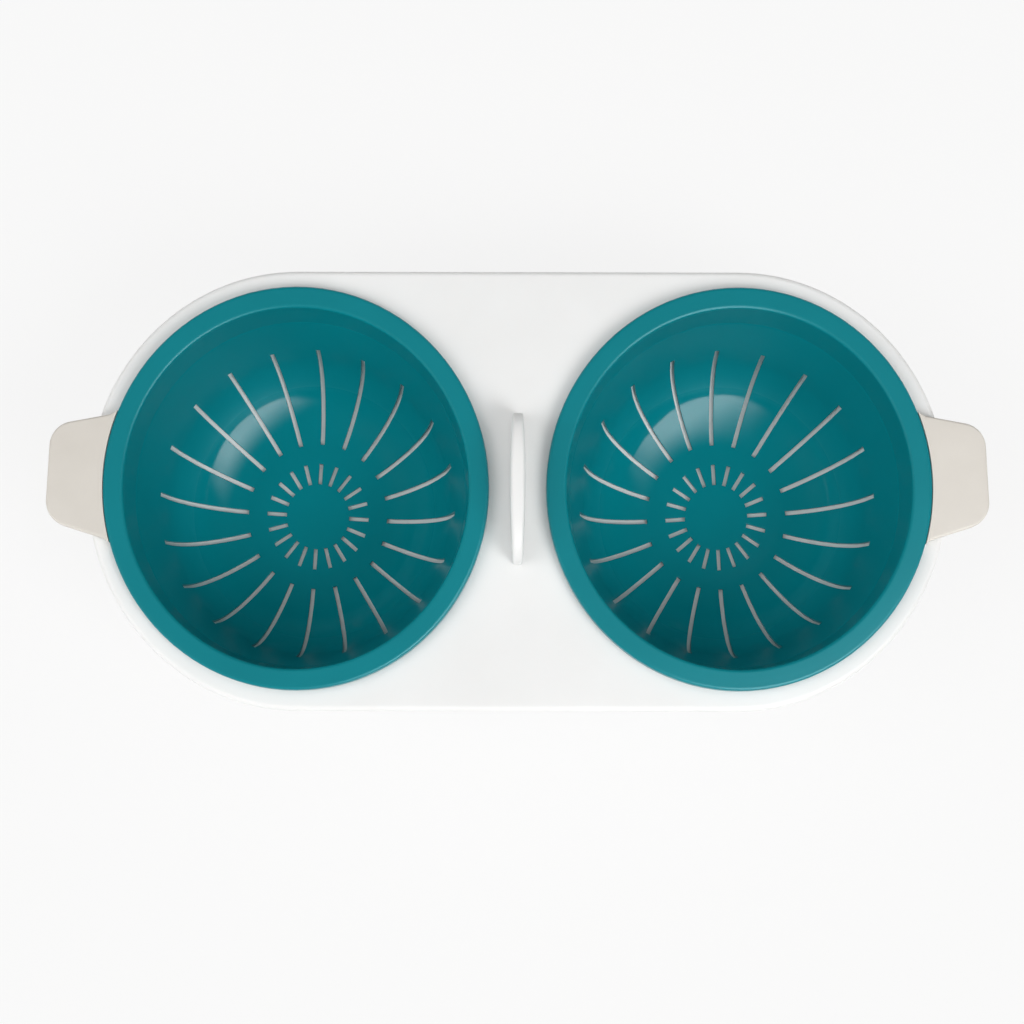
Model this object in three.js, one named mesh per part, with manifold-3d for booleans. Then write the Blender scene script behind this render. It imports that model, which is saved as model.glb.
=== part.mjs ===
// Two-egg microwave poacher: a white moulded water tray with two wells, a pair of slotted teal
// egg pods that hang in the wells by their rims and lift straight out, a stone-coloured stay-cool
// handle moulded round a tongue on each pod, and a finger fin snapped into the deck.
// Millimetres, +Z up. The origin is on the table, under the middle of the tray.

import * as THREE from "three";
import { mergeVertices } from "three/addons/utils/BufferGeometryUtils.js";
import Module from "manifold-3d";

const wasm = await Module();
wasm.setup();

// Pods and tray are drawn round and then made slightly longer from front to back than across.
const OVAL_RATIO = 1.045; // length over width

// Egg pod, a bowl that rests on the deck by its rim.
const RIM_RADIUS = 50;
const RIM_WIDTH = 4.4; // top of the rim, from its outer edge to the mouth
const RIM_HEIGHT = 3.2; // above the face that it rests on
const RIM_EDGE_RADIUS = 0.9;
const POD_WALL = 1.4;
const POD_DEPTH = 43.5; // from the top of the rim to the bowl's floor
const COLLAR_DEPTH = 9; // from the top of the rim to the small ledge inside the bowl
const COLLAR_DRAFT = 6; // degrees
const LEDGE_WIDTH = 0.3;
const BOWL_DRAFT = 12; // degrees
const BOWL_CORNER_RADIUS = 22; // between the bowl's wall and its floor

// Drain slots through the bowl, in two rings.
const SLOT_COUNT = 20; // in each ring
const INNER_SLOT_WIDTH = 1.1;
const INNER_SLOT_START = 9; // radius of the near end
const INNER_SLOT_LENGTH = 5.6;
const SLOT_RING_GAP = 5.3; // between an inner slot and the outer slot in line with it
const OUTER_SLOT_WIDTH = 1.3;
const OUTER_SLOT_MARGIN = 0.15; // between the far end of a slot and the top of the bowl's corner

// Handle, a flared tab moulded over a tongue that sticks out of the rim.
const HANDLE_REACH = 14.4; // beyond the rim
const HANDLE_TIP_WIDTH = 24.5;
const HANDLE_FLARE = 14; // degrees, between each side and the handle's middle line
const HANDLE_THICKNESS = 2.8;
const HANDLE_LIFT = 0.2; // above the face that the rim rests on
const HANDLE_EDGE_RADIUS = 0.7;
const HANDLE_TIP_RADIUS = 6.6;
const HANDLE_ROOT_RADIUS = 8;
const HANDLE_WRAP = 0.9; // how far inside the rim's edge the root's curves run out
const TONGUE_SIDE_COVER = 3.5; // handle beside the tongue, at the tip
const TONGUE_TIP_COVER = 5; // handle beyond the tongue
const TONGUE_THICKNESS = 1;
const TONGUE_CORNER_RADIUS = 2.5;
const LOCK_HOLE_RADIUS = 2.3; // the handle fills this hole, which keys it to the tongue

// Tray, a deck with a rounded edge, a tapered skirt and two wells for water.
const POD_GAP = 14.8; // between the two rims
const POD_TURN = 3.6; // degrees that each pod is turned in its well, as it was put down
const TRAY_MARGIN = 5; // deck beyond the rims
const TRAY_EDGE_RADIUS = 2.6;
const TRAY_WALL = 2;
const DECK_THICKNESS = 2.2;
const SKIRT_TAPER = 4; // how far the skirt draws in between the deck and the table
const WELL_CLEARANCE = 0.7; // between the pod's collar and the mouth of the well
const WELL_LEAD_IN = 0.4; // chamfer at the mouth
const WATER_GAP = 0.8; // water between the bowl of a pod and its well
const FLOOR_LIFT = 1.6; // the wells' floors stay clear of the table

// Fin, a thin upright grip between the pods with two snap legs through the deck.
const FIN_LENGTH = 38.7;
const FIN_HEIGHT = 13;
const FIN_THICKNESS = 3.9;
const FIN_END_THICKNESS = 2.5;
const FIN_ARCH = 3.2; // exponent of the arched top: 2 is an ellipse, more is squarer
const FIN_TOP_RADIUS = 1.1;
const LEG_INSET = 5.5; // from the fin's end
const LEG_WIDTH = 6;
const LEG_THICKNESS = 1.8;
const HOOK_REACH = 1;
const HOOK_HEIGHT = 1.8;

const FIT_GAP = 0.3; // between pieces that seat on or in each other
const FACETS_PER_SLOT = 2;
const CORNER_STEPS = 7;
const OUTLINE_STEPS = 4; // an arc of a flat outline has twice as many facets
const EDGE_STEPS = 2;
const FIN_STEPS = 14;

const radians = THREE.MathUtils.degToRad;
const point = (r, z) => new THREE.Vector2(r, z);

// Places that follow from the sizes above. A pod's own frame starts on the face that it rests on.
const roundSteps = SLOT_COUNT * FACETS_PER_SLOT;
const mouthRadius = RIM_RADIUS - RIM_WIDTH;
const collarRadius = mouthRadius - RIM_EDGE_RADIUS;
const podFloor = RIM_HEIGHT - POD_DEPTH;
const podUnderside = podFloor - POD_WALL;
const ledgeHeight = RIM_HEIGHT - COLLAR_DEPTH;
const handleMiddle = HANDLE_LIFT + HANDLE_THICKNESS / 2;
const tongueLength = HANDLE_REACH - TONGUE_TIP_COVER;
const podSpacing = 2 * RIM_RADIUS + POD_GAP;
const trayRadius = RIM_RADIUS + TRAY_MARGIN;
const wellRadius = collarRadius + POD_WALL + WELL_CLEARANCE;
const wellDepth = WATER_GAP - FIT_GAP - podUnderside;
const deckHeight = FLOOR_LIFT + TRAY_WALL + wellDepth;
const deckUnderside = deckHeight - DECK_THICKNESS;

const collarTop = RIM_HEIGHT - RIM_EDGE_RADIUS;
const collarFoot = collarRadius - (collarTop - ledgeHeight) * Math.tan(radians(COLLAR_DRAFT));
const ledge = point(collarFoot - LEDGE_WIDTH, ledgeHeight - LEDGE_WIDTH / 2);
const wallSlope = radians(BOWL_DRAFT);
const cornerRadius = Math.min(BOWL_CORNER_RADIUS, (ledge.y - podFloor) / (1 - Math.sin(wallSlope)));
const wallRadius = ledge.x - (ledge.y - podFloor - cornerRadius) * Math.tan(wallSlope);
const cornerCentre = point(wallRadius - cornerRadius / Math.cos(wallSlope), podFloor + cornerRadius);

const trayWhite = new THREE.MeshStandardMaterial({ color: 0xf1f1ef, roughness: 0.42, metalness: 0 });
const podTeal = new THREE.MeshStandardMaterial({ color: 0x08727a, roughness: 0.24, metalness: 0 });
const handleStone = new THREE.MeshStandardMaterial({ color: 0xd9d4cc, roughness: 0.6, metalness: 0 });

// A closed geometry as a solid that can be joined and cut.
function solidOf(geometry) {
  const bare = geometry.clone();
  bare.deleteAttribute("normal");
  bare.deleteAttribute("uv");
  const merged = mergeVertices(bare);
  const triVerts = [];
  for (let i = 0; i < merged.index.count; i += 3) {
    const [a, b, c] = merged.index.array.slice(i, i + 3);
    if (a !== b && b !== c && c !== a) triVerts.push(a, b, c);
  }
  return new wasm.Manifold(
    new wasm.Mesh({
      numProp: 3,
      vertProperties: new Float32Array(merged.attributes.position.array),
      triVerts: new Uint32Array(triVerts),
    }),
  );
}

// A round solid made longer from front to back.
function lengthened(solid) {
  return solid.scale([1, OVAL_RATIO, 1]);
}

// A named mesh with the triangles of a solid.
function pieceOf(name, solid, material) {
  const { vertProperties, triVerts } = solid.getMesh();
  const indexed = new THREE.BufferGeometry();
  indexed.setAttribute("position", new THREE.BufferAttribute(vertProperties, 3));
  indexed.setIndex(new THREE.BufferAttribute(triVerts, 1));
  const geometry = indexed.toNonIndexed();
  geometry.computeVertexNormals();
  const piece = new THREE.Mesh(geometry, material);
  piece.name = name;
  return piece;
}

// Points on an arc of a section, from one angle to another, in degrees from the outward direction.
function arcPoints(centre, radius, from, to, steps) {
  const points = [];
  for (let i = 0; i <= steps; i++) {
    const angle = radians(THREE.MathUtils.lerp(from, to, i / steps));
    points.push(point(centre.x + radius * Math.cos(angle), centre.y + radius * Math.sin(angle)));
  }
  return points;
}

// A section of radius and height turned about +Z, with a facet centred on each slot.
function revolve(section) {
  const halfFacet = Math.PI / roundSteps;
  return new THREE.LatheGeometry(section, roundSteps, halfFacet).rotateX(Math.PI / 2);
}

// Rings of equally many points joined one to the next, with a flat cap at each end.
function loft(rings) {
  const size = rings[0].length;
  const index = [];
  for (let ring = 0; ring + 1 < rings.length; ring++) {
    for (let i = 0; i < size; i++) {
      const a = ring * size + i;
      const b = ring * size + ((i + 1) % size);
      index.push(a, b, b + size, a, b + size, a + size);
    }
  }
  const last = (rings.length - 1) * size;
  for (let i = 1; i + 1 < size; i++) {
    index.push(0, i + 1, i, last, last + i, last + i + 1);
  }
  const geometry = new THREE.BufferGeometry().setFromPoints(rings.flat());
  geometry.setIndex(index);
  return solidOf(geometry);
}

// A flat outline made into a plate about a middle height, with its edges rounded if asked.
function plate(shape, thickness, middle, edgeRadius = 0) {
  const geometry = new THREE.ExtrudeGeometry(shape, {
    depth: thickness - 2 * edgeRadius,
    bevelEnabled: edgeRadius > 0,
    bevelThickness: edgeRadius,
    bevelSize: edgeRadius,
    bevelOffset: -edgeRadius,
    bevelSegments: EDGE_STEPS,
    curveSegments: OUTLINE_STEPS,
  });
  return solidOf(geometry.translate(0, 0, middle - thickness / 2 + edgeRadius));
}

// The bowl from its flat floor, round its corner and up its wall to the ledge, at a distance
// outside the face that holds the egg.
function bowlAt(distance) {
  const top = point(ledge.x + distance / Math.cos(wallSlope), ledge.y);
  return [...arcPoints(cornerCentre, cornerRadius + distance, -90, -BOWL_DRAFT, CORNER_STEPS), top];
}

// The pod's section: out and up the underside, over the rim and down the inside.
function podSection() {
  return [
    point(0, podUnderside),
    ...bowlAt(POD_WALL),
    point(collarRadius + POD_WALL, 0),
    point(RIM_RADIUS, 0),
    ...arcPoints(point(RIM_RADIUS - RIM_EDGE_RADIUS, collarTop), RIM_EDGE_RADIUS, 0, 90, EDGE_STEPS),
    ...arcPoints(point(mouthRadius, collarTop), RIM_EDGE_RADIUS, 90, 180, EDGE_STEPS),
    point(collarFoot, ledgeHeight),
    ...bowlAt(0).reverse(),
    point(0, podFloor),
  ];
}

// The slope of the bowl's floor or corner at a radius.
function slopeAt(radius) {
  return Math.asin(Math.max(0, radius - cornerCentre.x) / cornerRadius);
}

// A point at a radius of the bowl's floor or corner, moved out square to it.
function besideBowl(radius, distance) {
  const slope = slopeAt(radius);
  const reach = cornerRadius + distance;
  const x = Math.min(radius, cornerCentre.x) + reach * Math.sin(slope);
  return point(x, cornerCentre.y - reach * Math.cos(slope));
}

// One ring of slots between two radii, as upright plates with ends square to the bowl's wall.
function slotRing(start, end, width) {
  const halfTurn = (slopeAt(end) - slopeAt(start)) / 2;
  const beyond = (cornerRadius + 2 * POD_WALL) / Math.cos(halfTurn) - cornerRadius;
  const shape = new THREE.Shape([
    besideBowl(start, -POD_WALL),
    besideBowl(end, -POD_WALL),
    besideBowl(end, beyond),
    besideBowl(start, beyond),
  ]);
  const slot = new THREE.ExtrudeGeometry(shape, { depth: width, bevelEnabled: false });
  slot.translate(0, 0, -width / 2).rotateX(Math.PI / 2);
  const plates = [];
  for (let i = 0; i < SLOT_COUNT; i++) {
    plates.push(solidOf(slot.clone().rotateZ((i * 2 * Math.PI) / SLOT_COUNT)));
  }
  return plates;
}

// The tongue with its lock hole. A gap round it gives the handle's pocket and its plug.
function tongueSolid(gap) {
  const root = mouthRadius + POD_WALL;
  const tip = RIM_RADIUS + tongueLength + gap;
  const half = HANDLE_TIP_WIDTH / 2 - TONGUE_SIDE_COVER + gap;
  const corner = TONGUE_CORNER_RADIUS + gap;
  const shape = new THREE.Shape();
  shape.moveTo(root, -half);
  shape.lineTo(tip - corner, -half);
  shape.absarc(tip - corner, corner - half, corner, -Math.PI / 2, 0);
  shape.absarc(tip - corner, half - corner, corner, 0, Math.PI / 2);
  shape.lineTo(root, half);
  const hole = new THREE.CylinderGeometry(LOCK_HOLE_RADIUS - gap, LOCK_HOLE_RADIUS - gap, HANDLE_THICKNESS);
  hole.rotateX(Math.PI / 2).translate(RIM_RADIUS + tongueLength / 2, 0, handleMiddle);
  return plate(shape, TONGUE_THICKNESS + 2 * gap, handleMiddle).subtract(solidOf(hole));
}

function podSolid() {
  const innerEnd = INNER_SLOT_START + INNER_SLOT_LENGTH;
  const outerEnd = cornerCentre.x + cornerRadius * Math.cos(wallSlope) - OUTER_SLOT_MARGIN;
  const slots = [
    ...slotRing(INNER_SLOT_START, innerEnd, INNER_SLOT_WIDTH),
    ...slotRing(innerEnd + SLOT_RING_GAP, outerEnd, OUTER_SLOT_WIDTH),
  ];
  const bowl = slots.reduce((pod, slot) => pod.subtract(slot), solidOf(revolve(podSection())));
  return lengthened(bowl).add(tongueSolid(0));
}

// The handle from above: straight flared sides, round tip corners, and hollow curves at the root
// that run out on the rim.
function handleShape() {
  const flare = radians(HANDLE_FLARE);
  const tip = point(RIM_RADIUS + HANDLE_REACH, HANDLE_TIP_WIDTH / 2);
  const outward = point(Math.sin(flare), Math.cos(flare));
  const along = point(Math.cos(flare), -Math.sin(flare));
  const side = tip.dot(outward);
  const sideAngle = outward.angle();

  const rim = RIM_RADIUS - HANDLE_WRAP;
  const rootSide = side + HANDLE_ROOT_RADIUS;
  const rootAlong = Math.sqrt((rim + HANDLE_ROOT_RADIUS) ** 2 - rootSide ** 2);
  const root = outward.clone().multiplyScalar(rootSide).addScaledVector(along, rootAlong);
  const rootAngle = root.angle();
  const rootEnd = root.clone().setLength(rim);
  const back = rim - HANDLE_ROOT_RADIUS;

  const tipRadius = Math.min(HANDLE_TIP_RADIUS, tip.y);
  const corner = point(tip.x - tipRadius, 0);
  corner.y = (side - tipRadius - corner.dot(outward)) / outward.y;

  const shape = new THREE.Shape();
  shape.moveTo(back, -rootEnd.y);
  shape.lineTo(rootEnd.x, -rootEnd.y);
  shape.absarc(root.x, -root.y, HANDLE_ROOT_RADIUS, Math.PI - rootAngle, Math.PI - sideAngle, true);
  shape.absarc(corner.x, -corner.y, tipRadius, -sideAngle, 0);
  shape.absarc(corner.x, corner.y, tipRadius, 0, sideAngle);
  shape.absarc(root.x, root.y, HANDLE_ROOT_RADIUS, sideAngle - Math.PI, rootAngle - Math.PI, true);
  shape.lineTo(back, rootEnd.y);
  return shape;
}

// The handle is cut to the rim, and its pocket takes the tongue with a plug through the lock hole.
function handleSolid() {
  const rim = RIM_RADIUS + FIT_GAP;
  const reach = RIM_HEIGHT + HANDLE_THICKNESS;
  const rimBlock = revolve([point(0, -reach), point(rim, -reach), point(rim, reach), point(0, reach)]);
  const blank = plate(handleShape(), HANDLE_THICKNESS, handleMiddle, HANDLE_EDGE_RADIUS);
  return blank.subtract(lengthened(solidOf(rimBlock))).subtract(tongueSolid(FIT_GAP));
}

// The outline of the tray at one height: a half circle about each pod's centre and straight sides.
function trayRing(radius, height) {
  const halfTurn = roundSteps / 2;
  const ring = [];
  for (const side of [1, -1]) {
    for (let i = 0; i <= halfTurn; i++) {
      const angle = (i / halfTurn - side / 2) * Math.PI;
      const x = (side * podSpacing) / 2 + radius * Math.cos(angle);
      ring.push(new THREE.Vector3(x, radius * Math.sin(angle), height));
    }
  }
  return ring;
}

// The deck and the skirt as one thin shell, open underneath.
function trayShell() {
  const edgeFoot = point(trayRadius - TRAY_EDGE_RADIUS, deckHeight - TRAY_EDGE_RADIUS);
  const edge = arcPoints(edgeFoot, TRAY_EDGE_RADIUS, 0, 90, CORNER_STEPS);
  const taperPerHeight = SKIRT_TAPER / edgeFoot.y;
  const skirtRadius = (height) => trayRadius - taperPerHeight * (edgeFoot.y - height);
  const hollow = [-TRAY_WALL, deckUnderside].map((height) =>
    trayRing(skirtRadius(Math.min(height, edgeFoot.y)) - TRAY_WALL, height),
  );
  const outside = [trayRing(skirtRadius(0), 0), ...edge.map((p) => trayRing(p.x, p.y))];
  return loft(outside).subtract(loft(hollow));
}

// The outside of a well in its pod's frame. It follows the pod and ends inside the deck.
function wellSection() {
  const side = bowlAt(POD_WALL + WATER_GAP + TRAY_WALL);
  const top = point(wellRadius + TRAY_WALL, -FIT_GAP - DECK_THICKNESS / 2);
  return [point(0, side[0].y), ...side, top, point(0, top.y)];
}

// The space inside a well in its pod's frame, with a chamfer at the mouth.
function waterSection() {
  const side = bowlAt(POD_WALL + WATER_GAP);
  return [
    point(0, side[0].y),
    ...side,
    point(wellRadius, -FIT_GAP - WELL_LEAD_IN),
    point(wellRadius + WELL_LEAD_IN, -FIT_GAP),
    point(wellRadius + WELL_LEAD_IN, FIT_GAP),
    point(0, FIT_GAP),
  ];
}

// One of the fin's snap legs from the side, with its hook outwards.
function legShape(end, gap) {
  const outer = FIN_LENGTH / 2 - LEG_INSET;
  const inner = outer - LEG_WIDTH;
  const top = deckHeight + FIT_GAP + FIN_TOP_RADIUS;
  const catchHeight = deckUnderside - FIT_GAP;
  const shape = new THREE.Shape();
  shape.moveTo(end * (inner - gap), top);
  shape.lineTo(end * (inner - gap), catchHeight - HOOK_HEIGHT);
  shape.lineTo(end * (outer + gap), catchHeight - HOOK_HEIGHT);
  if (gap === 0) shape.lineTo(end * (outer + HOOK_REACH), catchHeight);
  if (gap === 0) shape.lineTo(end * outer, catchHeight);
  shape.lineTo(end * (outer + gap), top);
  return shape;
}

// A leg as a solid across the fin. A gap round it gives its hole in the deck.
function legSolid(end, gap) {
  const thickness = LEG_THICKNESS + 2 * gap;
  const geometry = new THREE.ExtrudeGeometry(legShape(end, gap), { depth: thickness, bevelEnabled: false });
  geometry.translate(0, 0, -thickness / 2).rotateX(Math.PI / 2).rotateZ(Math.PI / 2);
  return solidOf(geometry);
}

// The fin across its length at one place along it: straight sides and a rounded top.
function finRing(y, height) {
  const half = THREE.MathUtils.lerp(FIN_THICKNESS, FIN_END_THICKNESS, (2 * y / FIN_LENGTH) ** 2) / 2;
  const radius = Math.min(FIN_TOP_RADIUS, half);
  const section = [
    point(-half, 0),
    ...arcPoints(point(radius - half, height - radius), radius, 180, 90, EDGE_STEPS),
    ...arcPoints(point(half - radius, height - radius), radius, 90, 0, EDGE_STEPS),
    point(half, 0),
  ];
  const base = deckHeight + FIT_GAP;
  return section.map((p) => new THREE.Vector3(p.x, y, base + p.y));
}

// The fin is a row of such sections under an arch, joined to its two legs.
function finSolid() {
  const rings = [];
  for (let i = 0; i <= FIN_STEPS; i++) {
    const share = -Math.cos((i / FIN_STEPS) * Math.PI);
    const arch = Math.max(0, 1 - Math.abs(share) ** FIN_ARCH) ** (1 / FIN_ARCH);
    rings.push(finRing((share * FIN_LENGTH) / 2, Math.max(FIN_HEIGHT * arch, 2 * FIN_TOP_RADIUS)));
  }
  return loft(rings).add(legSolid(1, 0)).add(legSolid(-1, 0));
}

// The shell with its wells added and hollowed out, lengthened, and then cut for the fin's legs.
function traySolid() {
  const seat = deckHeight + FIT_GAP;
  const atPods = (section) =>
    [1, -1].map((side) => solidOf(revolve(section).translate((side * podSpacing) / 2, 0, seat)));
  const joined = atPods(wellSection()).reduce((tray, well) => tray.add(well), trayShell());
  const hollowed = atPods(waterSection()).reduce((tray, water) => tray.subtract(water), joined);
  return lengthened(hollowed).subtract(legSolid(1, FIT_GAP)).subtract(legSolid(-1, FIT_GAP));
}

const poacher = new THREE.Group();
poacher.add(pieceOf("tray", traySolid(), trayWhite));
poacher.add(pieceOf("lifting_fin", finSolid(), trayWhite));

const pod = podSolid();
const handle = handleSolid();
for (const [side, name] of [[-1, "left"], [1, "right"]]) {
  const place = new THREE.Group();
  place.position.set((side * podSpacing) / 2, 0, deckHeight + FIT_GAP);
  place.rotation.z = (side < 0 ? Math.PI : 0) + side * radians(POD_TURN);
  place.add(pieceOf(`${name}_pod`, pod, podTeal));
  place.add(pieceOf(`${name}_handle`, handle, handleStone));
  poacher.add(place);
}

export default poacher;
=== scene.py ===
from math import acos, asin, atan2, cos, pi, radians, sin, sqrt, tan

import bmesh
import bpy
from mathutils import Matrix, Vector


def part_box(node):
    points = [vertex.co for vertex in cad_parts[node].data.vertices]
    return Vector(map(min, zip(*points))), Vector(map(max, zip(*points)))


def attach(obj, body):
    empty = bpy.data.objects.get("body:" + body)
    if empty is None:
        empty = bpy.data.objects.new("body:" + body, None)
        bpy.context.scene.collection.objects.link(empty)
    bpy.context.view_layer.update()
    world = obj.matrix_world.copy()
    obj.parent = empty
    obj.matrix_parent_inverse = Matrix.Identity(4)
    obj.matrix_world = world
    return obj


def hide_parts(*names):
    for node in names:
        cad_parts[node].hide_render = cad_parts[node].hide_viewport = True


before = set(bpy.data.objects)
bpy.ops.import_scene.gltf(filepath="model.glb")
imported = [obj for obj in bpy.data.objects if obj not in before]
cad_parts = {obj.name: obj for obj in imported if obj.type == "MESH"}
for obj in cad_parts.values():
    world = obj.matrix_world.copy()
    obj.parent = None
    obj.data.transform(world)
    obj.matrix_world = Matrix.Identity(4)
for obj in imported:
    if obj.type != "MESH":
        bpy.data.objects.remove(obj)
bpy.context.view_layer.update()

# Water tray: one injection moulding in satin white polypropylene. A flat deck with a rolled edge
# stands on a tapered skirt, and two wells hang from the deck and follow the bowls of the pods, with
# room for a film of water. It is open underneath, and two small slots take the fin's snap legs.
MM = 0.001
tray_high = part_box("tray")[1]
DECK = tray_high.z / MM
TRAY_RADIUS = 55
TRAY_LENGTHENED = tray_high.y / MM / TRAY_RADIUS
POD_CENTRE = tray_high.x / MM - TRAY_RADIUS
DECK_THICKNESS = 2.2
UNDERSIDE = DECK - DECK_THICKNESS
ROLLED_EDGE = 1.5
SKIRT_FOOT = TRAY_RADIUS - 4
SKIRT_FOOT_EDGE = 0.6
SKIRT_WALL = 2
SKIRT_INSIDE_FILLET = 1.2
POD_SEAT = DECK + 0.3
BOWL_CORNER = 22
BOWL_CORNER_FROM = 18.03
BOWL_CORNER_RISE = POD_SEAT - 17.5
WALL_LEAN = radians(76)
WELL_INSIDE = BOWL_CORNER + 1.3
WELL_OUTSIDE = WELL_INSIDE + 2
WELL_SHOULDER = POD_SEAT - 6
WELL_SHOULDER_INSIDE = 45.19
WELL_SHOULDER_OUTSIDE = 47.23
WELL_SHOULDER_BEND = 4
WELL_MOUTH = 46.8
WELL_MOUTH_OUTSIDE = WELL_MOUTH + 1.9
WELL_MOUTH_EDGE = 0.5
LEG_HOLE_SPAN = (7.55, 14.15)
LEG_HOLE_HALF = 1.2


def rounded_line(corners, steps=6):
    """Points along a line of (x, y, corner radius), with an arc at each corner that has a radius."""
    points = [Vector(corners[0][:2])]
    for before, here, after in zip(corners, corners[1:], corners[2:]):
        corner = Vector(here[:2])
        if not here[2]:
            points.append(corner)
            continue
        back = (Vector(before[:2]) - corner).normalized()
        on = (Vector(after[:2]) - corner).normalized()
        half = acos(max(-1, min(1, back.dot(on)))) / 2
        centre = corner + (back + on).normalized() * here[2] / sin(half)
        first = corner + back * here[2] / tan(half) - centre
        turn = first.angle_signed(corner + on * here[2] / tan(half) - centre)
        for i in range(steps + 1):
            points.append(centre + Matrix.Rotation(-turn * i / steps, 2) @ first)
    points.append(Vector(corners[-1][:2]))
    return points


def capsule_ring(mesh, radius, height, steps=72):
    """A ring of the tray's outline: a half circle about each pod's middle, and straight sides."""
    ring = []
    for side in (1, -1):
        for i in range(steps + 1):
            turn = pi * (i / steps - side / 2)
            x = side * POD_CENTRE + radius * cos(turn)
            y = TRAY_LENGTHENED * radius * sin(turn)
            ring.append(mesh.verts.new(Vector((x, y, height)) * MM))
    return ring


def round_ring(mesh, middle, radius, height, steps=144):
    """A slightly oval ring about a pod's middle."""
    ring = []
    for i in range(steps):
        turn = 2 * pi * i / steps
        x = middle + radius * cos(turn)
        y = TRAY_LENGTHENED * radius * sin(turn)
        ring.append(mesh.verts.new(Vector((x, y, height)) * MM))
    return ring


def bowl_corner(corner, turn):
    """A point on the round corner of a bowl, as radius and height, turned up from the floor."""
    return Vector((BOWL_CORNER_FROM + corner * sin(turn), BOWL_CORNER_RISE - corner * cos(turn)))


def well_rings(mesh, middle, corner, upper_line):
    """A well's skin from its floor, round its corner and up a line to the deck."""
    line = [bowl_corner(corner, WALL_LEAN * i / 20) for i in range(20)]
    line += rounded_line([(*bowl_corner(corner, WALL_LEAN), 0)] + upper_line, steps=6)[:-1]
    rings = [round_ring(mesh, middle, p.x, p.y) for p in line]
    skin(mesh, rings)
    mesh.faces.new(rings[0])
    return rings


def skin(mesh, rings):
    """A band of faces from each ring to the next."""
    for first, second in zip(rings, rings[1:]):
        for i in range(len(first)):
            j = (i + 1) % len(first)
            mesh.faces.new((first[i], first[j], second[j], second[i]))


def flat_fill(mesh, rings):
    """A flat face inside the first ring, with the other rings as holes in it."""
    edges = []
    for ring in rings:
        for here, after in zip(ring, ring[1:] + ring[:1]):
            edges.append(mesh.edges.get((here, after)) or mesh.edges.new((here, after)))
    bmesh.ops.triangle_fill(mesh, use_beauty=True, edges=edges, normal=(0, 0, 1))


def piece_from(mesh, name, finish, crease=34):
    """Closes the mesh into an object with a finish, smooth up to the crease angle."""
    bmesh.ops.remove_doubles(mesh, verts=mesh.verts, dist=2e-6)
    bmesh.ops.recalc_face_normals(mesh, faces=mesh.faces)
    data = bpy.data.meshes.new(name)
    mesh.to_mesh(data)
    mesh.free()
    data.shade_smooth()
    data.set_sharp_from_angle(angle=radians(crease))
    data.materials.append(finish)
    piece = bpy.data.objects.new(name, data)
    bpy.context.scene.collection.objects.link(piece)
    return piece


def even_shading(piece):
    """Lets the large faces decide the shading, so that flats stay flat beside small fillets."""
    evened = piece.modifiers.new("even_shading", "WEIGHTED_NORMAL")
    evened.keep_sharp = True
    return evened


def make_moulded_skin():
    """What every moulding here shows: a fine spark-eroded grain and a faint cloudiness of the melt."""
    group = bpy.data.node_groups.new("moulded_skin", "ShaderNodeTree")
    for name, default in (("Grain per metre", 9000.0), ("Cloud per metre", 60.0)):
        socket = group.interface.new_socket(name, in_out="INPUT", socket_type="NodeSocketFloat")
        socket.default_value = default
    for name in ("Grain", "Cloud", "Scuffs"):
        group.interface.new_socket(name, in_out="OUTPUT", socket_type="NodeSocketFloat")
    nodes = group.nodes
    links = group.links
    sizes = nodes.new("NodeGroupInput")
    result = nodes.new("NodeGroupOutput")
    place = nodes.new("ShaderNodeTexCoord")
    grain = nodes.new("ShaderNodeTexNoise")
    grain.inputs["Detail"].default_value = 3
    grain.inputs["Roughness"].default_value = 0.6
    cloud = nodes.new("ShaderNodeTexNoise")
    cloud.inputs["Detail"].default_value = 4
    cloud.inputs["Roughness"].default_value = 0.5
    scuffs = nodes.new("ShaderNodeTexNoise")
    scuffs.inputs["Scale"].default_value = 420
    scuffs.inputs["Detail"].default_value = 6
    scuffs.inputs["Roughness"].default_value = 0.7
    scuffs.inputs["Distortion"].default_value = 1.5
    links.new(sizes.outputs["Grain per metre"], grain.inputs["Scale"])
    links.new(sizes.outputs["Cloud per metre"], cloud.inputs["Scale"])
    for texture, name in ((grain, "Grain"), (cloud, "Cloud"), (scuffs, "Scuffs")):
        links.new(place.outputs["Object"], texture.inputs["Vector"])
        links.new(texture.outputs["Fac"], result.inputs[name])
    return group


moulded_skin = make_moulded_skin()


def spread(material, value, low, high):
    """A node that spreads a texture's middle range over a range of roughness."""
    node = material.node_tree.nodes.new("ShaderNodeMapRange")
    node.inputs["From Min"].default_value = 0.3
    node.inputs["From Max"].default_value = 0.7
    node.inputs["To Min"].default_value = low
    node.inputs["To Max"].default_value = high
    material.node_tree.links.new(value, node.inputs["Value"])
    return node.outputs["Result"]


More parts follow.
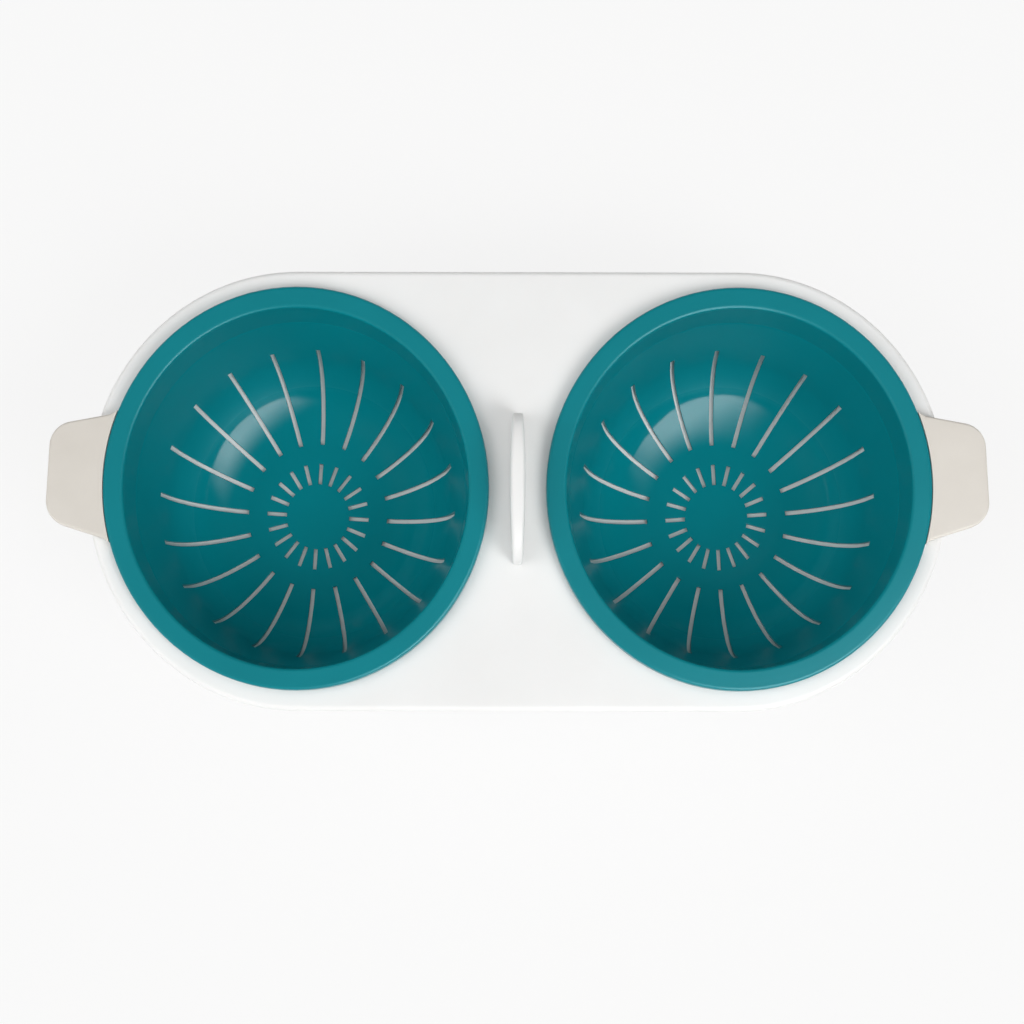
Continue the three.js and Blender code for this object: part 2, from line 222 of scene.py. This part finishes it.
def moulded_finish(name, pale, deep, grain, cloud, roughness, grain_depth):
    """A moulded plastic between two near tints, with its own grain size, gloss and grain depth."""
    material = bpy.data.materials.new(name)
    material.use_nodes = True
    nodes = material.node_tree.nodes
    links = material.node_tree.links
    shader = nodes["Principled BSDF"]
    skin_node = nodes.new("ShaderNodeGroup")
    skin_node.node_tree = moulded_skin
    skin_node.inputs["Grain per metre"].default_value = grain
    skin_node.inputs["Cloud per metre"].default_value = cloud
    tint = nodes.new("ShaderNodeMix")
    tint.data_type = "RGBA"
    tint.inputs["A"].default_value = (*deep, 1)
    tint.inputs["B"].default_value = (*pale, 1)
    bump = nodes.new("ShaderNodeBump")
    bump.inputs["Distance"].default_value = grain_depth
    bump.inputs["Strength"].default_value = 1
    links.new(spread(material, skin_node.outputs["Cloud"], 0, 1), tint.inputs["Factor"])
    links.new(tint.outputs["Result"], shader.inputs["Base Color"])
    links.new(spread(material, skin_node.outputs["Scuffs"], *roughness), shader.inputs["Roughness"])
    links.new(skin_node.outputs["Grain"], bump.inputs["Height"])
    links.new(bump.outputs["Normal"], shader.inputs["Normal"])
    shader.inputs["IOR"].default_value = 1.49
    return material


satin_white = moulded_finish(
    "satin_white_polypropylene",
    pale=(0.88, 0.88, 0.872),
    deep=(0.855, 0.855, 0.845),
    grain=5200,
    cloud=45,
    roughness=(0.38, 0.5),
    grain_depth=0.000006,
)
white_shader = satin_white.node_tree.nodes["Principled BSDF"]
white_shader.inputs["Specular IOR Level"].default_value = 0.15
white_shader.inputs["Subsurface Weight"].default_value = 0.12
white_shader.inputs["Subsurface Radius"].default_value = (1, 0.9, 0.85)
white_shader.inputs["Subsurface Scale"].default_value = 0.004

tray_mesh = bmesh.new()
lean = (TRAY_RADIUS - SKIRT_FOOT) / (DECK - ROLLED_EDGE)
inwards = TRAY_RADIUS - 8
skirt_line = rounded_line([
    (inwards, UNDERSIDE, 0),
    (TRAY_RADIUS - SKIRT_WALL - 0.05, UNDERSIDE, SKIRT_INSIDE_FILLET),
    (SKIRT_FOOT - SKIRT_WALL, 0, SKIRT_FOOT_EDGE),
    (SKIRT_FOOT, 0, SKIRT_FOOT_EDGE),
    (TRAY_RADIUS + lean * ROLLED_EDGE, DECK, ROLLED_EDGE),
    (inwards, DECK, 0),
], steps=9)
skirt_rings = [capsule_ring(tray_mesh, p.x, p.y) for p in skirt_line[1:-1]]
skin(tray_mesh, skirt_rings)
deck_holes = []
underside_holes = []
for side in (-1, 1):
    inside_line = [
        (WELL_SHOULDER_INSIDE, WELL_SHOULDER, WELL_SHOULDER_BEND),
        (WELL_MOUTH, DECK, WELL_MOUTH_EDGE),
        (WELL_MOUTH + 4, DECK, 0),
    ]
    outside_line = [
        (WELL_SHOULDER_OUTSIDE, WELL_SHOULDER, WELL_SHOULDER_BEND),
        (WELL_MOUTH_OUTSIDE, UNDERSIDE, WELL_MOUTH_EDGE),
        (WELL_MOUTH + 6, UNDERSIDE, 0),
    ]
    deck_holes.append(well_rings(tray_mesh, side * POD_CENTRE, WELL_INSIDE, inside_line)[-1])
    underside_holes.append(well_rings(tray_mesh, side * POD_CENTRE, WELL_OUTSIDE, outside_line)[-1])
    near, far = LEG_HOLE_SPAN
    corners = (
        (-LEG_HOLE_HALF, near),
        (LEG_HOLE_HALF, near),
        (LEG_HOLE_HALF, far),
        (-LEG_HOLE_HALF, far),
    )
    leg_hole = []
    for height in (UNDERSIDE, DECK):
        leg_hole.append([tray_mesh.verts.new(Vector((x, side * y, height)) * MM) for x, y in corners])
    skin(tray_mesh, leg_hole)
    underside_holes.append(leg_hole[0])
    deck_holes.append(leg_hole[1])
flat_fill(tray_mesh, [skirt_rings[-1]] + deck_holes)
flat_fill(tray_mesh, [skirt_rings[0]] + underside_holes)
tray = piece_from(tray_mesh, "moulded_tray", satin_white)
even_shading(tray)
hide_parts("tray")
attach(tray, "tray_body")

# Lifting fin: a thin upright grip between the pods, moulded in the same satin white. Its sides are
# slightly bellied, its top is an arch with soft edges, and two legs with hooks snap through the deck.
FIN_LENGTH = 38.7
FIN_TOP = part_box("lifting_fin")[1].z / MM
FIN_BASE = DECK + 0.12
FIN_MIDDLE = 3.9
FIN_END = 2.5
FIN_ARCH = 3.2
FIN_EDGE = 1.1
FIN_CORNER = 0.8
FIN_STEPS = 64
LEG_SPAN = (7.85, 13.85)
LEG_HALF = 0.9
HOOK = 1
HOOK_HEIGHT = 1.8
CATCH_GAP = 0.3


def fin_section(mesh, along):
    """The fin cut across at one place along it: two sides and a top with soft edges."""
    share = 2 * along / FIN_LENGTH
    arch = max(0, 1 - abs(share) ** FIN_ARCH) ** (1 / FIN_ARCH)
    height = max((FIN_TOP - FIN_BASE) * arch, 2 * FIN_EDGE)
    half = (FIN_MIDDLE + (FIN_END - FIN_MIDDLE) * share ** 2) / 2
    from_end = FIN_LENGTH / 2 - abs(along)
    if from_end < FIN_CORNER:
        half -= FIN_CORNER - sqrt(max(0, FIN_CORNER ** 2 - (FIN_CORNER - from_end) ** 2))
    edge = min(FIN_EDGE, half * 0.9)
    outline = rounded_line([(-half, 0, 0), (-half, height, edge), (half, height, edge), (half, 0, 0)], 6)
    return [mesh.verts.new(Vector((p.x, along, FIN_BASE + p.y)) * MM) for p in outline]


fin_mesh = bmesh.new()
fin_rings = []
for step in range(FIN_STEPS + 1):
    fin_rings.append(fin_section(fin_mesh, -FIN_LENGTH / 2 * cos(pi * step / FIN_STEPS)))
for first, second in zip(fin_rings, fin_rings[1:]):
    for i in range(len(first) - 1):
        fin_mesh.faces.new((first[i], first[i + 1], second[i + 1], second[i]))
fin_mesh.faces.new(fin_rings[0])
fin_mesh.faces.new(fin_rings[-1])
foot_outline = [ring[0] for ring in fin_rings] + [ring[-1] for ring in reversed(fin_rings)]
catch = UNDERSIDE - CATCH_GAP
leg_roots = []
for side in (-1, 1):
    leg_rings = []
    for height, reach in ((FIN_BASE, 0), (catch, 0), (catch, HOOK), (catch - HOOK_HEIGHT, 0)):
        near, far = LEG_SPAN[0], LEG_SPAN[1] + reach
        corners = ((-LEG_HALF, near), (LEG_HALF, near), (LEG_HALF, far), (-LEG_HALF, far))
        places = [Vector((x, side * y, height)) for x, y in corners]
        leg_rings.append([fin_mesh.verts.new(place * MM) for place in places])
    skin(fin_mesh, leg_rings)
    fin_mesh.faces.new(leg_rings[-1])
    leg_roots.append(leg_rings[0])
flat_fill(fin_mesh, [foot_outline] + leg_roots)
fin = piece_from(fin_mesh, "finger_fin", satin_white)
even_shading(fin)
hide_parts("lifting_fin")
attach(fin, "tray_body")

# Egg pods: two deep bowls in teal polypropylene, each hung in its well by a flat rim, with a faint ledge
# inside the collar. Two rings of twenty drain slots go square through the wall. The floor and the lower
# corner are polished, and the wall and the rim above them are satin, where hands and spoons rub.
POD_TURN = radians(3.6)
RIM_RADIUS = 50
RIM_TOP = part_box("left_pod")[1].z / MM
POD_WALL = 0.9
SLOTS = 20
SLOT_RINGS = ((9, 14.6, 0.52), (19.9, 40.3, 0.58))
SLOT_EDGE = 0.1
WALL_FOOT = bowl_corner(BOWL_CORNER, WALL_LEAN).x
WALL_HEAD = 42.9
LEDGE_INSIDE = 43.5
LEDGE = POD_SEAT - 6.3
LEDGE_BEND = 1
COLLAR_FOOT = 43.68
COLLAR_HEAD = 44.78
COLLAR_FROM = POD_SEAT - 5.8
RIM_EDGE = 0.9
RIM_LOWER_EDGE = 0.35
NECK_HEAD = 45.95
NECK_FOOT = 44.75
NECK_FROM = POD_SEAT - 6
NECK_FILLET = 0.4
NECK_BEND = 1.5
SATIN_FROM = POD_SEAT - 33.8
SATIN_FULL = POD_SEAT - 32.4
SATIN_ROUGHNESS = 0.29


def bowl_radii():
    """Radii of the rings of points in the bowl, close enough for a clean gloss, with one at each
    end of a slot."""
    (first, second), (third, fourth) = (ring[:2] for ring in SLOT_RINGS)
    stops = [3, 6]
    for start, end, steps in ((first, second, 4), (second, third, 4)):
        stops += [start + (end - start) * i / steps for i in range(steps)]
    start = asin((third - BOWL_CORNER_FROM) / BOWL_CORNER)
    for i in range(26):
        stops.append(BOWL_CORNER_FROM + BOWL_CORNER * sin(start + (WALL_LEAN - start) * i / 26))
    for start, end, steps in ((WALL_FOOT, fourth, 4), (fourth, WALL_HEAD, 7)):
        stops += [start + (end - start) * i / steps for i in range(steps)]
    return stops


def bowl_point(radius, wall):
    """A point of the bowl's inside as radius and height, or of its underside square through the wall."""
    if radius <= BOWL_CORNER_FROM:
        return Vector((radius, BOWL_CORNER_RISE - BOWL_CORNER - wall))
    if radius <= WALL_FOOT:
        return bowl_corner(BOWL_CORNER + wall, asin((radius - BOWL_CORNER_FROM) / BOWL_CORNER))
    up_wall = Vector((1, tan(WALL_LEAN))) * (radius - WALL_FOOT)
    return bowl_corner(BOWL_CORNER + wall, WALL_LEAN) + up_wall


def pod_ring(mesh, radius, height):
    """A ring of the pod, with a pair of columns that keep to the sides of each slot."""
    inner, outer = SLOT_RINGS
    share = max(0, min(1, (radius - inner[1]) / (outer[0] - inner[1])))
    half_slot = inner[2] + share * (outer[2] - inner[2])
    edge = asin(half_slot / max(radius, inner[0]))
    sector = pi / SLOTS
    ring = []
    for slot in range(SLOTS):
        middle = 2 * sector * slot
        gap = sector - edge
        for turn in (-edge, edge, *(edge + gap * step for step in (0.4, 0.8, 1.2, 1.6))):
            x = radius * cos(middle + turn)
            y = TRAY_LENGTHENED * radius * sin(middle + turn)
            ring.append(mesh.verts.new(Vector((x, y, height)) * MM))
    return ring


def slotted_at(first, last):
    """Whether the band between two radii lies inside one of the rings of slots."""
    return any(start - 0.001 < first and last < end + 0.001 for start, end, half in SLOT_RINGS)


def pod_mesh():
    """The bowl's inside and underside joined over the rim, with walls down through each slot."""
    mesh = bmesh.new()
    blunt = mesh.edges.layers.float.new("bevel_weight_edge")
    radii = bowl_radii()
    inside, under = ([pod_ring(mesh, *bowl_point(r, wall)) for r in radii] for wall in (0, POD_WALL))
    columns = len(inside[0])
    per_slot = columns // SLOTS
    slot_ends = []
    for start, end, half in SLOT_RINGS:
        for stop in (start, end):
            slot_ends.append(min(range(len(radii)), key=lambda k: abs(radii[k] - stop)))
    for band, (first, last) in enumerate(zip(radii, radii[1:])):
        for i in range(columns):
            j = (i + 1) % columns
            if slotted_at(first, last) and i % per_slot == 0:
                for column in (i, j):
                    mesh.faces.new((
                        inside[band][column], inside[band + 1][column],
                        under[band + 1][column], under[band][column],
                    ))
                continue
            for rings in (inside, under):
                mesh.faces.new((rings[band][i], rings[band][j], rings[band + 1][j], rings[band + 1][i]))
    for band in slot_ends:
        for i in range(0, columns, per_slot):
            mesh.faces.new((inside[band][i], inside[band][i + 1], under[band][i + 1], under[band][i]))
    mesh.faces.new(inside[0])
    mesh.faces.new(under[0])
    for rings in (inside, under):
        for band, (first, last) in enumerate(zip(radii, radii[1:])):
            if not slotted_at(first, last):
                continue
            for column in range(0, columns, per_slot):
                for side in (column, column + 1):
                    mesh.edges.get((rings[band][side], rings[band + 1][side]))[blunt] = 1
        for band in slot_ends:
            for column in range(0, columns, per_slot):
                mesh.edges.get((rings[band][column], rings[band][column + 1]))[blunt] = 1
    over_rim = rounded_line([
        (*bowl_point(WALL_HEAD, 0), 0),
        (LEDGE_INSIDE, LEDGE, LEDGE_BEND),
        (COLLAR_FOOT, COLLAR_FROM, LEDGE_BEND),
        (COLLAR_HEAD, RIM_TOP, RIM_EDGE),
        (RIM_RADIUS, RIM_TOP, RIM_EDGE),
        (RIM_RADIUS, POD_SEAT, RIM_LOWER_EDGE),
        (NECK_HEAD, POD_SEAT, NECK_FILLET),
        (NECK_FOOT, NECK_FROM, NECK_BEND),
        (*bowl_point(WALL_HEAD, POD_WALL), 0),
    ], steps=6)
    rim = [pod_ring(mesh, p.x, p.y) for p in over_rim]
    skin(mesh, [inside[-1]] + rim + [under[-1]])
    return mesh


polished_teal = moulded_finish(
    "polished_teal_polypropylene",
    pale=(0.0012, 0.222, 0.262),
    deep=(0.0008, 0.206, 0.243),
    grain=1400,
    cloud=38,
    roughness=(0.07, 0.12),
    grain_depth=0.0000008,
)
teal_nodes = polished_teal.node_tree.nodes
teal_links = polished_teal.node_tree.links
teal_shader = teal_nodes["Principled BSDF"]
teal_shader.inputs["Specular IOR Level"].default_value = 0.3
teal_place = teal_nodes.new("ShaderNodeTexCoord")
teal_height = teal_nodes.new("ShaderNodeSeparateXYZ")
satin_share = teal_nodes.new("ShaderNodeMapRange")
satin_share.inputs["From Min"].default_value = SATIN_FROM * MM
satin_share.inputs["From Max"].default_value = SATIN_FULL * MM
worn = teal_nodes.new("ShaderNodeMix")
worn.inputs["B"].default_value = SATIN_ROUGHNESS
teal_gloss = teal_shader.inputs["Roughness"].links[0].from_socket
teal_links.new(teal_place.outputs["Object"], teal_height.inputs["Vector"])
teal_links.new(teal_height.outputs["Z"], satin_share.inputs["Value"])
teal_links.new(satin_share.outputs["Result"], worn.inputs["Factor"])
teal_links.new(teal_gloss, worn.inputs["A"])
teal_links.new(worn.outputs["Result"], teal_shader.inputs["Roughness"])


def in_well(side):
    """Where a pod hangs: over its well, with its handle outwards and turned a little."""
    turn = POD_TURN if side > 0 else pi - POD_TURN
    return Matrix.Translation((side * POD_CENTRE * MM, 0, 0)) @ Matrix.Rotation(turn, 4, "Z")


for side, name in ((-1, "left"), (1, "right")):
    pod = piece_from(pod_mesh(), name + "_slotted_pod", polished_teal)
    blunted = pod.modifiers.new("blunted_slots", "BEVEL")
    blunted.limit_method = "WEIGHT"
    blunted.width = SLOT_EDGE * MM
    blunted.segments = 2
    even_shading(pod)
    pod.data.transform(in_well(side))
    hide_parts(name + "_pod")
    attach(pod, name + "_pod_body")

# Stay-cool handles: flat flared tabs in fine matt stone grey, moulded over a tongue on each pod's rim.
# The sides run straight to round tip corners, hollow curves run out on the rim, and every edge is
# rolled. Handle and pod lift together.
HANDLE_TIP = RIM_RADIUS + 14.4
HANDLE_TIP_HALF = 12.25
HANDLE_FLARE = radians(14)
HANDLE_TIP_RADIUS = 6.6
HANDLE_ROOT_RADIUS = 8
HANDLE_WRAP = 0.9
HANDLE_LOW = POD_SEAT + 0.2
HANDLE_HIGH = POD_SEAT + 3
HANDLE_ROLL = 0.7
HANDLE_GAP = 0.06


def rim_edge(across):
    """The handle's seam: how far out the pod's oval rim is, beside the handle's middle line."""
    reach = RIM_RADIUS + HANDLE_GAP
    return reach * sqrt(1 - (across / (reach * TRAY_LENGTHENED)) ** 2)


def handle_outline():
    """One side of the handle from above, from where it leaves the rim to the middle of the tip, as
    points with the direction that the edge faces."""
    outward = Vector((sin(HANDLE_FLARE), cos(HANDLE_FLARE)))
    along = Vector((cos(HANDLE_FLARE), -sin(HANDLE_FLARE)))
    side = Vector((HANDLE_TIP, HANDLE_TIP_HALF)).dot(outward)
    root_side = side + HANDLE_ROOT_RADIUS
    root_along = sqrt((RIM_RADIUS - HANDLE_WRAP + HANDLE_ROOT_RADIUS) ** 2 - root_side ** 2)
    root = outward * root_side + along * root_along
    corner = Vector((HANDLE_TIP - HANDLE_TIP_RADIUS, 0))
    corner.y = (side - HANDLE_TIP_RADIUS - corner.dot(outward)) / outward.y
    end = atan2(-outward.y, -outward.x)
    start = end
    while True:
        on_arc = root + Vector((cos(start), sin(start))) * HANDLE_ROOT_RADIUS
        if on_arc.x <= rim_edge(on_arc.y) + 0.02:
            break
        start -= radians(0.1)
    points = []
    for i in range(25):
        turn = start + (end - start) * i / 24
        ray = Vector((cos(turn), sin(turn)))
        points.append((root + ray * HANDLE_ROOT_RADIUS, -ray))
    foot = points[-1][0]
    last = corner + outward * HANDLE_TIP_RADIUS
    for i in range(1, 6):
        points.append((foot.lerp(last, i / 6), outward))
    for i in range(21):
        turn = atan2(outward.y, outward.x) * (1 - i / 20)
        ray = Vector((cos(turn), sin(turn)))
        points.append((corner + ray * HANDLE_TIP_RADIUS, ray))
    for i in range(1, 5):
        points.append((Vector((HANDLE_TIP, corner.y * (1 - i / 4))), Vector((1, 0))))
    return points


def handle_mesh():
    """Top and underside between the rim and the outline, joined by a rolled edge and the seam."""
    half = handle_outline()
    lower = [(Vector((p.x, -p.y)), Vector((n.x, -n.y))) for p, n in half]
    outline = lower + list(reversed(half))[1:]
    count = len(outline)
    span = half[0][0].y
    mesh = bmesh.new()
    loops = []
    for i, (edge, face) in enumerate(outline):
        share = 2 * i / (count - 1) - 1
        seam = Vector((rim_edge(span * share), span * share))
        room = max(0, edge.x - rim_edge(edge.y))
        roll = min(HANDLE_ROLL, 0.45 * room)
        loop = []
        for part in range(5):
            loop.append((seam.lerp(edge - face * roll, part / 4), HANDLE_HIGH))
        for step in range(1, 6):
            turn = pi / 2 * step / 5
            loop.append((edge - face * roll * (1 - sin(turn)), HANDLE_HIGH - roll * (1 - cos(turn))))
        for step in range(6):
            turn = pi / 2 * (1 - step / 5)
            loop.append((edge - face * roll * (1 - sin(turn)), HANDLE_LOW + roll * (1 - cos(turn))))
        for part in range(3, -1, -1):
            loop.append((seam.lerp(edge - face * roll, part / 4), HANDLE_LOW))
        loops.append([mesh.verts.new(Vector((p.x, p.y, z)) * MM) for p, z in loop])
    skin(mesh, loops)
    mesh.faces.new(loops[0])
    mesh.faces.new(loops[-1])
    return mesh


stone_matt = moulded_finish(
    "stone_matt_overmoulding",
    pale=(0.70, 0.662, 0.604),
    deep=(0.655, 0.617, 0.56),
    grain=4200,
    cloud=70,
    roughness=(0.52, 0.66),
    grain_depth=0.00001,
)
for side, name in ((-1, "left"), (1, "right")):
    handle = piece_from(handle_mesh(), name + "_stay_cool_handle", stone_matt)
    even_shading(handle)
    handle.data.transform(in_well(side))
    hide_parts(name + "_handle")
    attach(handle, name + "_pod_body")

# Table: a plain white studio sweep under the tray. Near the tray it takes the soft shadow, and
# farther out it runs to an even white.
TABLE_SIDES = 96


def joined(tree, operation, first, second):
    """A node that joins two values, by their product or by the larger one."""
    node = tree.nodes.new("ShaderNodeMath")
    node.operation = operation
    tree.links.new(first, node.inputs[0])
    tree.links.new(second, node.inputs[1])
    return node.outputs["Value"]


table_mesh = bmesh.new()
table_rings = []
for reach in (0.02, 0.2, 0.5, 1.2, 3.0, 8.0):
    ring = []
    for i in range(TABLE_SIDES):
        turn = 2 * pi * i / TABLE_SIDES
        ring.append(table_mesh.verts.new((reach * cos(turn), reach * sin(turn), 0)))
    table_rings.append(ring)
skin(table_mesh, table_rings)
table_mesh.faces.new(table_rings[0])
table_white = bpy.data.materials.new("table_white")
table_white.use_nodes = True
table_tree = table_white.node_tree
table_nodes = table_tree.nodes
table_links = table_tree.links
table_nodes.remove(table_nodes["Principled BSDF"])
matt = table_nodes.new("ShaderNodeBsdfDiffuse")
matt.inputs["Color"].default_value = (0.9, 0.9, 0.9, 1)
sheet = table_nodes.new("ShaderNodeEmission")
sheet.inputs["Color"].default_value = (0.955, 0.955, 0.953, 1)
seen = table_nodes.new("ShaderNodeLightPath").outputs
seen_or_mirrored = joined(table_tree, "MAXIMUM", seen["Is Camera Ray"], seen["Is Glossy Ray"])
or_through = joined(table_tree, "MAXIMUM", seen_or_mirrored, seen["Is Transmission Ray"])
place = table_nodes.new("ShaderNodeTexCoord")
distance = table_nodes.new("ShaderNodeVectorMath")
distance.operation = "LENGTH"
evenness = table_nodes.new("ShaderNodeMapRange")
evenness.interpolation_type = "SMOOTHSTEP"
evenness.inputs["From Min"].default_value = 0.12
evenness.inputs["From Max"].default_value = 0.6
evenness.inputs["To Min"].default_value = 0.85
evenness.inputs["To Max"].default_value = 1
sheet_share = joined(table_tree, "MULTIPLY", or_through, evenness.outputs["Result"])
blend = table_nodes.new("ShaderNodeMixShader")
table_links.new(place.outputs["Object"], distance.inputs[0])
table_links.new(distance.outputs["Value"], evenness.inputs["Value"])
table_links.new(sheet_share, blend.inputs["Fac"])
table_links.new(matt.outputs["BSDF"], blend.inputs[1])
table_links.new(sheet.outputs["Emission"], blend.inputs[2])
table_links.new(blend.outputs["Shader"], table_nodes["Material Output"].inputs["Surface"])
table = piece_from(table_mesh, "table", table_white)

# Studio light: a soft box at the front right that shows in the gloss alone, as a pale crescent in each
# bowl, and wide ones overhead, at the front right and at the left that leave almost no reflection. The
# room is pale near the horizon and dark above where it is mirrored, and white to the camera.
WIDE_BOX_FADES = (0.25, 0.25, 0.25, 0.25)
BACKDROP_WHITE = 0.955


def soft_box(name, place, target, spin, width, height, radiance, fades):
    """A soft box spun about its axis, even in the middle, with the share of its left, right, lower and
    upper side over which it fades."""
    lamp = bpy.data.lights.new(name, "AREA")
    lamp.shape = "RECTANGLE"
    lamp.size = width
    lamp.size_y = height
    lamp.energy = radiance * width * height * pi
    lamp.use_nodes = True
    nodes = lamp.node_tree.nodes
    links = lamp.node_tree.links
    cloth = nodes.new("ShaderNodeNewGeometry")
    across = nodes.new("ShaderNodeSeparateXYZ")
    links.new(cloth.outputs["Parametric"], across.inputs["Vector"])
    light = None
    for axis, side, fade in zip("XXYY", (0, 1, 0, 1), fades):
        edge = nodes.new("ShaderNodeMapRange")
        edge.interpolation_type = "SMOOTHSTEP"
        edge.inputs["From Min"].default_value = side * (1 - fade)
        edge.inputs["From Max"].default_value = side + (1 - side) * fade
        edge.inputs["To Min"].default_value = side
        edge.inputs["To Max"].default_value = 1 - side
        links.new(across.outputs[axis], edge.inputs["Value"])
        if light is None:
            light = edge.outputs["Result"]
            continue
        light = joined(lamp.node_tree, "MULTIPLY", light, edge.outputs["Result"])
    links.new(light, nodes["Emission"].inputs["Strength"])
    box = bpy.data.objects.new(name, lamp)
    bpy.context.scene.collection.objects.link(box)
    box.location = place
    aim = (Vector(target) - Vector(place)).to_track_quat("-Z", "Y").to_matrix()
    box.rotation_euler = (aim @ Matrix.Rotation(radians(spin), 3, "Z")).to_euler()
    box.visible_camera = False
    return box


key = soft_box(
    "front_right_soft_box",
    place=(0.1541, -0.2286, 0.3021),
    target=(0.0695, -0.0647, -0.1084),
    spin=33.5,
    width=0.63,
    height=0.4,
    radiance=7.4,
    fades=(0.19, 0.35, 0.04, 0.6),
)
key.visible_diffuse = False
for name, place, target, width, height, radiance in (
    ("overhead_soft_box", (0.1, -0.35, 0.95), (0.1, -0.35, 0), 3, 3, 0.83),
    ("front_soft_box", (1.34, -1.2, 1.62), (0, 0, 0.03), 1.5, 1.6, 5.9),
    ("left_soft_box", (-1.75, -0.5, 1.47), (0, 0, 0.03), 2.4, 2.4, 2.2),
):
    wide_box = soft_box(name, place, target, 0, width, height, radiance, WIDE_BOX_FADES)
    wide_box.visible_glossy = False
room = bpy.data.worlds.new("studio_room")
bpy.context.scene.world = room
room.use_nodes = True
room_nodes = room.node_tree.nodes
room_links = room.node_tree.links
direction = room_nodes.new("ShaderNodeTexCoord")
upward = room_nodes.new("ShaderNodeSeparateXYZ")
ceiling = room_nodes.new("ShaderNodeMapRange")
ceiling.interpolation_type = "SMOOTHSTEP"
ceiling.inputs["From Min"].default_value = 0.08
ceiling.inputs["From Max"].default_value = 0.32
ceiling.inputs["To Min"].default_value = 0.5
ceiling.inputs["To Max"].default_value = 0.005
room_links.new(direction.outputs["Generated"], upward.inputs["Vector"])
room_links.new(upward.outputs["Z"], ceiling.inputs["Value"])
seen_directly = room_nodes.new("ShaderNodeLightPath")
backdrop = room_nodes.new("ShaderNodeMath")
backdrop.operation = "MULTIPLY"
backdrop.inputs[1].default_value = BACKDROP_WHITE
room_links.new(seen_directly.outputs["Is Camera Ray"], backdrop.inputs[0])
brighter = joined(room.node_tree, "MAXIMUM", ceiling.outputs["Result"], backdrop.outputs["Value"])
room_links.new(brighter, room_nodes["Background"].inputs["Strength"])
room_nodes["Background"].inputs["Color"].default_value = (1, 1, 1, 1)
bpy.context.scene.view_settings.view_transform = "Standard"

# Camera: level, above the table in front of the pods, with its lens shifted so that the tray is in the
# middle of the frame, as the photograph was taken.
lens = bpy.data.cameras.new("camera")
lens.lens = 50
lens.sensor_width = 36
lens.clip_start = 0.01
lens.shift_y = 0.2464
camera = bpy.data.objects.new("camera", lens)
bpy.context.scene.collection.objects.link(camera)
camera.location = (-0.0013, -0.07131, 0.41672)
camera.rotation_euler = (0, 0, radians(0.12))
bpy.context.scene.camera = camera
